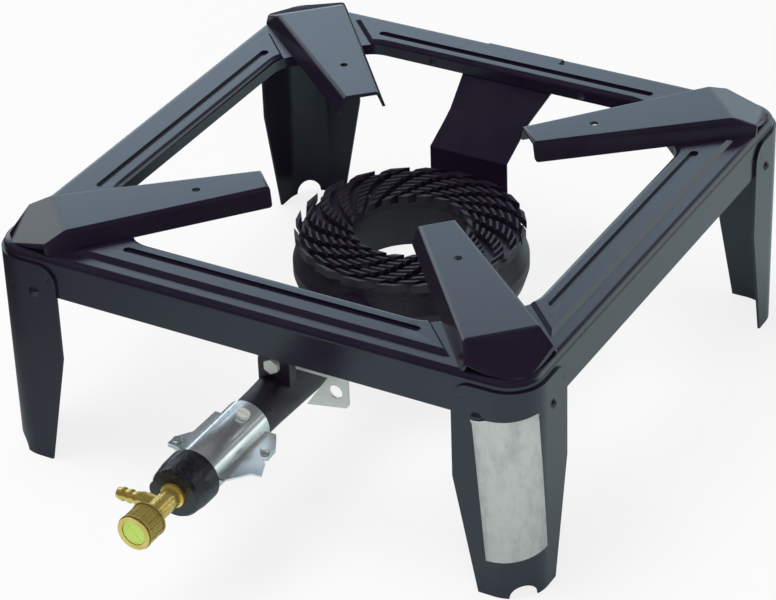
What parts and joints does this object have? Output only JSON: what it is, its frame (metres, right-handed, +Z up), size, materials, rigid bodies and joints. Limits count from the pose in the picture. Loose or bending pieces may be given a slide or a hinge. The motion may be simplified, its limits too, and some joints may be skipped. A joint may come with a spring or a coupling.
{
  "type": "portable gas boiling ring",
  "caption": "Square pressed-steel gas boiling ring on angle legs, with pan supports, a spiral-ridged ring burner and a front air sleeve and needle valve.",
  "frame": {"origin": "on the floor, under the middle of the whole part's bounding box", "axes": "+Z up; the valve and knob point to -Y, the rear strap is at +Y; +X is to the right when facing the valve"},
  "size_m": [0.4078, 0.5457, 0.177],
  "materials": {
    "black_enamel": "semi-gloss black stove enamel on pressed steel",
    "iron": "black-painted grey iron casting",
    "black_casting": "gloss black casting",
    "zinc": "dull zinc plate",
    "chrome": "bright nickel-chrome plate on pressed steel",
    "brass": "turned brass",
    "rubber": "black sealing rubber",
    "lime_plastic": "lime green moulded plastic"
  },
  "bodies": {
    "stand": {"top_frame": "black_enamel", "pan_support_front_left": "black_enamel", "pan_support_front_right": "black_enamel", "pan_support_rear_right": "black_enamel", "pan_support_rear_left": "black_enamel", "leg_front_left": "black_enamel", "leg_front_right": "black_enamel", "leg_rear_right": "black_enamel", "leg_rear_left": "black_enamel", "leg_rivets": "black_enamel", "rear_strap": "black_enamel", "rear_strap_rivets": "black_enamel", "rear_strap_screws": "zinc", "front_bracket": "zinc", "front_bracket_rivets": "zinc", "front_bracket_screw": "zinc", "front_bracket_nut": "zinc", "burner_bowl": "iron", "burner_head": "iron", "burner_head_screws": "zinc", "jet_holder": "black_casting", "jet": "brass", "valve_body": "brass", "hose_barb": "brass", "packing_nut": "brass", "stem_seal": "rubber"},
    "air_sleeve": {"air_sleeve_upper": "chrome", "air_sleeve_lower": "chrome", "sleeve_clamp_screws": "chrome", "sleeve_clamp_nuts": "chrome", "sleeve_lock_screw": "chrome"},
    "stem": {"valve_stem": "brass"},
    "knob": {"knob": "brass", "knob_insert": "lime_plastic"}
  },
  "joints": [
    {"name": "air_sleeve_slide", "type": "slide", "parent": "stand", "child": "air_sleeve", "axis": [0, 1, 0], "range_m": [0, 0.018]},
    {"name": "stem_slide", "type": "slide", "parent": "stand", "child": "stem", "axis": [0, -1, 0], "range_m": [0, 0.00225]},
    {"name": "knob_turn", "type": "hinge", "parent": "stem", "child": "knob", "pos_m": [0, -0.253, 0.0835], "axis": [0, -1, 0], "range_deg": [0, 540]}
  ],
  "couplings": [
    {"joint": "knob_turn", "follows": "stem_slide", "rad_per_m": 4188.8}
  ]
}
